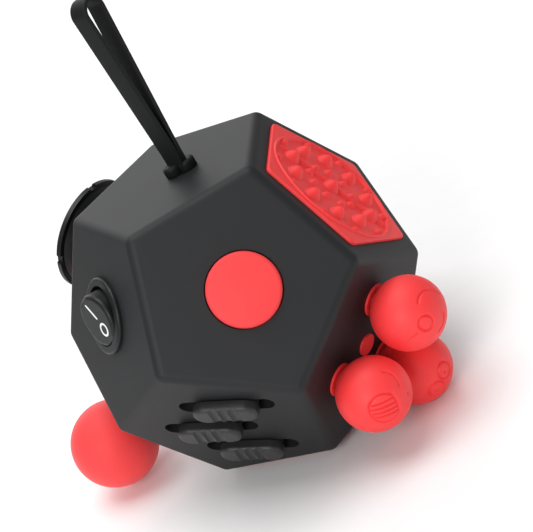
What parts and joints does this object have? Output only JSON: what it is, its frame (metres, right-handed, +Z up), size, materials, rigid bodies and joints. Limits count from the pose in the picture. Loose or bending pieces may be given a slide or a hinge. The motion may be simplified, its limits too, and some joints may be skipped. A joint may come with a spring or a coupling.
{
  "type": "fidget toy",
  "caption": "Twelve-sided desk fidget toy with a different thing to press, turn, slide, spin, squeeze or rub on each face, and a carrying strap.",
  "frame": {"origin": "centre of the resting plane, under the middle of the lowest face's worry pad", "axes": "+Z up through the strap's face, -Y towards the face with the large click button, +X to the right of it"},
  "size_m": [0.0845, 0.0769, 0.1028],
  "materials": {
    "grey_abs": "matte, finely textured moulding",
    "black_abs": "satin moulding",
    "red_silicone": "matte silicone",
    "red_plastic": "matte, soft-touch",
    "black_rubber": "matte moulded TPU",
    "natural_nylon": "plain moulding",
    "steel": "bright",
    "chrome_steel": "polished",
    "zinc": "turned and tumbled",
    "black_disc": "satin"
  },
  "bodies": {
    "shell": {"front_shell": "grey_abs", "rear_shell": "grey_abs", "shell_screws": "steel", "plate_screws": "steel", "button_guide": "natural_nylon", "button_spring": "steel", "rocker_bezel": "black_abs", "rocker_pin": "steel", "rocker_leaf": "steel", "slider_tray": "natural_nylon", "ball_collars": "red_silicone", "ball_stud": "red_silicone", "ball_plate": "natural_nylon", "nub_pad": "red_silicone", "worry_pad": "red_silicone", "wheel_axle": "steel", "wheel_frame": "natural_nylon", "dial_bush": "black_abs", "dial_nut": "natural_nylon", "detent_leaf": "steel", "joystick_cradle": "natural_nylon", "joystick_spring": "steel", "dome_sheet": "black_rubber", "five_plate": "natural_nylon", "bearing_outer": "steel", "bearing_balls": "steel", "bearing_cup": "natural_nylon", "strap_root": "black_rubber", "strap_pin": "steel"},
    "click_button": {"click_button": "red_plastic"},
    "rocker": {"rocker_paddle": "black_abs"},
    "slider_1": {"slider_grip_1": "black_abs", "slider_shoe_1": "natural_nylon"},
    "slider_2": {"slider_grip_2": "black_abs", "slider_shoe_2": "natural_nylon"},
    "slider_3": {"slider_grip_3": "black_abs", "slider_shoe_3": "natural_nylon"},
    "ball_1": {"squeeze_ball_1": "red_silicone"},
    "ball_2": {"squeeze_ball_2": "red_silicone"},
    "ball_3": {"squeeze_ball_3": "red_silicone"},
    "wheel_1": {"thumb_wheel_1": "zinc"},
    "wheel_2": {"thumb_wheel_2": "zinc"},
    "wheel_3": {"thumb_wheel_3": "zinc"},
    "roller": {"roller_ball": "chrome_steel"},
    "dial": {"dial_cap": "black_abs", "dial_pad": "black_rubber", "dial_shaft": "steel", "detent_wheel": "natural_nylon"},
    "gimbal": {"gimbal_ring": "natural_nylon"},
    "joystick": {"joystick_knob": "red_plastic", "joystick_stem": "steel"},
    "small_button_1": {"small_button_1": "red_plastic"},
    "small_button_2": {"small_button_2": "red_plastic"},
    "small_button_3": {"small_button_3": "red_plastic"},
    "small_button_4": {"small_button_4": "red_plastic"},
    "small_button_5": {"small_button_5": "red_plastic"},
    "spinner": {"spinner_disc": "black_disc", "spinner_pin": "steel", "bearing_inner": "steel"},
    "strap": {"strap_loop": "black_rubber"}
  },
  "joints": [
    {"name": "click_button_press", "type": "slide", "parent": "shell", "child": "click_button", "axis": [0, 0.8944, -0.4472], "range_m": [0, 0.0015], "stiffness_N_per_m": 900, "springref_m": -0.0012, "deforming": ["button_spring"]},
    {"name": "rocker_switch", "type": "hinge", "parent": "shell", "child": "rocker", "pos_m": [-0.02466, -0.00759, 0.04573], "axis": [-0.5028, 0.6764, -0.5383], "range_deg": [0, 32]},
    {"name": "slider_1_slide", "type": "slide", "parent": "shell", "child": "slider_1", "axis": [0.8507, -0.4472, -0.2764], "range_m": [-0.003, 0.003]},
    {"name": "slider_2_slide", "type": "slide", "parent": "shell", "child": "slider_2", "axis": [0.8507, -0.4472, -0.2764], "range_m": [-0.003, 0.003]},
    {"name": "slider_3_slide", "type": "slide", "parent": "shell", "child": "slider_3", "axis": [0.8507, -0.4472, -0.2764], "range_m": [-0.003, 0.003]},
    {"name": "ball_1_lean", "type": "hinge", "parent": "shell", "child": "ball_1", "pos_m": [0.02085, -0.02169, 0.02658], "axis": [-0.6221, -0.6856, 0.378], "range_deg": [-6, 6], "stiffness_Nm_per_rad": 0.05},
    {"name": "ball_2_lean", "type": "hinge", "parent": "shell", "child": "ball_2", "pos_m": [0.00711, -0.02631, 0.01792], "axis": [-0.1914, 0.4117, -0.891], "range_deg": [-6, 6], "stiffness_Nm_per_rad": 0.05},
    {"name": "ball_3_lean", "type": "hinge", "parent": "shell", "child": "ball_3", "pos_m": [0.01762, -0.01474, 0.01153], "axis": [0.8135, 0.274, 0.513], "range_deg": [-6, 6], "stiffness_Nm_per_rad": 0.05},
    {"name": "thumb_wheel_1_spin", "type": "hinge", "parent": "shell", "child": "wheel_1", "pos_m": [0.01325, 0.01823, 0.04645], "axis": [-0.809, 0.5878, 0], "continuous": true},
    {"name": "thumb_wheel_2_spin", "type": "hinge", "parent": "shell", "child": "wheel_2", "pos_m": [0.01325, 0.01823, 0.04645], "axis": [-0.809, 0.5878, 0], "continuous": true},
    {"name": "thumb_wheel_3_spin", "type": "hinge", "parent": "shell", "child": "wheel_3", "pos_m": [0.01325, 0.01823, 0.04645], "axis": [-0.809, 0.5878, 0], "continuous": true},
    {"name": "roller_ball_spin", "type": "hinge", "parent": "shell", "child": "roller", "pos_m": [0.01682, 0.02316, 0.0363], "axis": [-0.809, 0.5878, 0], "continuous": true},
    {"name": "dial_turn", "type": "hinge", "parent": "shell", "child": "dial", "pos_m": [-0.01577, 0.02171, 0.04502], "axis": [-0.5257, 0.7236, 0.4472], "continuous": true},
    {"name": "joystick_tilt_a", "type": "hinge", "parent": "shell", "child": "gimbal", "pos_m": [-0.02127, 0.00691, 0.02042], "axis": [-0.4253, 0.1382, 0.8944], "range_deg": [-16, 16], "stiffness_Nm_per_rad": 0.08, "deforming": ["joystick_spring"]},
    {"name": "joystick_tilt_b", "type": "hinge", "parent": "gimbal", "child": "joystick", "pos_m": [-0.02127, 0.00691, 0.02042], "axis": [-0.309, -0.9511, 0], "range_deg": [-16, 16], "stiffness_Nm_per_rad": 0.08, "deforming": ["joystick_spring"]},
    {"name": "small_button_1_press", "type": "slide", "parent": "shell", "child": "small_button_1", "axis": [-0.8507, -0.2764, 0.4472], "range_m": [0, 0.0008], "stiffness_N_per_m": 700, "springref_m": -0.0006, "deforming": ["dome_sheet"]},
    {"name": "small_button_2_press", "type": "slide", "parent": "shell", "child": "small_button_2", "axis": [-0.8507, -0.2764, 0.4472], "range_m": [0, 0.0008], "stiffness_N_per_m": 700, "springref_m": -0.0006, "deforming": ["dome_sheet"]},
    {"name": "small_button_3_press", "type": "slide", "parent": "shell", "child": "small_button_3", "axis": [-0.8507, -0.2764, 0.4472], "range_m": [0, 0.0008], "stiffness_N_per_m": 700, "springref_m": -0.0006, "deforming": ["dome_sheet"]},
    {"name": "small_button_4_press", "type": "slide", "parent": "shell", "child": "small_button_4", "axis": [-0.8507, -0.2764, 0.4472], "range_m": [0, 0.0008], "stiffness_N_per_m": 700, "springref_m": -0.0006, "deforming": ["dome_sheet"]},
    {"name": "small_button_5_press", "type": "slide", "parent": "shell", "child": "small_button_5", "axis": [-0.8507, -0.2764, 0.4472], "range_m": [0, 0.0008], "stiffness_N_per_m": 700, "springref_m": -0.0006, "deforming": ["dome_sheet"]},
    {"name": "spinner_turn", "type": "hinge", "parent": "shell", "child": "spinner", "pos_m": [0, 0.02683, 0.01818], "axis": [0, 0.8944, -0.4472], "continuous": true},
    {"name": "strap_flex", "type": "hinge", "parent": "shell", "child": "strap", "pos_m": [0.0023, -0.0015, 0.0638], "axis": [0.6401, -0.7683, 0], "range_deg": [-25, 25], "stiffness_Nm_per_rad": 0.02}
  ]
}
